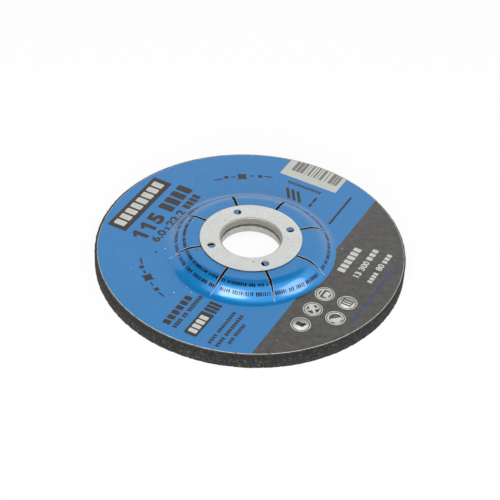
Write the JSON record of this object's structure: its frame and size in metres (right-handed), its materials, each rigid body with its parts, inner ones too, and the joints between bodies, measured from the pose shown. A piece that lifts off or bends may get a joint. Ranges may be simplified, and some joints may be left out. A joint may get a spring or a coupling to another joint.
{
  "type": "grinding disc",
  "caption": "Depressed-centre resin-bonded grinding disc with a raised hub, a paper label on the back and a steel-lined bore.",
  "frame": {"origin": "on the axis of the bore, in the plane of the working face that the disc lies on", "axes": "+Z along the bore, out of the back of the disc, where the hub stands up; +X to the right in the picture's view and +Y away from it"},
  "size_m": [0.115, 0.115, 0.011],
  "materials": {
    "abrasive": "coarse dark grit in black resin, rough and matt",
    "label_paper": "coated printing paper, blue with a dark grey field, satin",
    "ring_steel": "zinc-plated pressed sheet, satin and faintly mottled"
  },
  "bodies": {
    "root": {"abrasive_body": "abrasive", "label": "label_paper", "back_ring": "ring_steel", "front_ring": "ring_steel"}
  },
  "joints": []
}
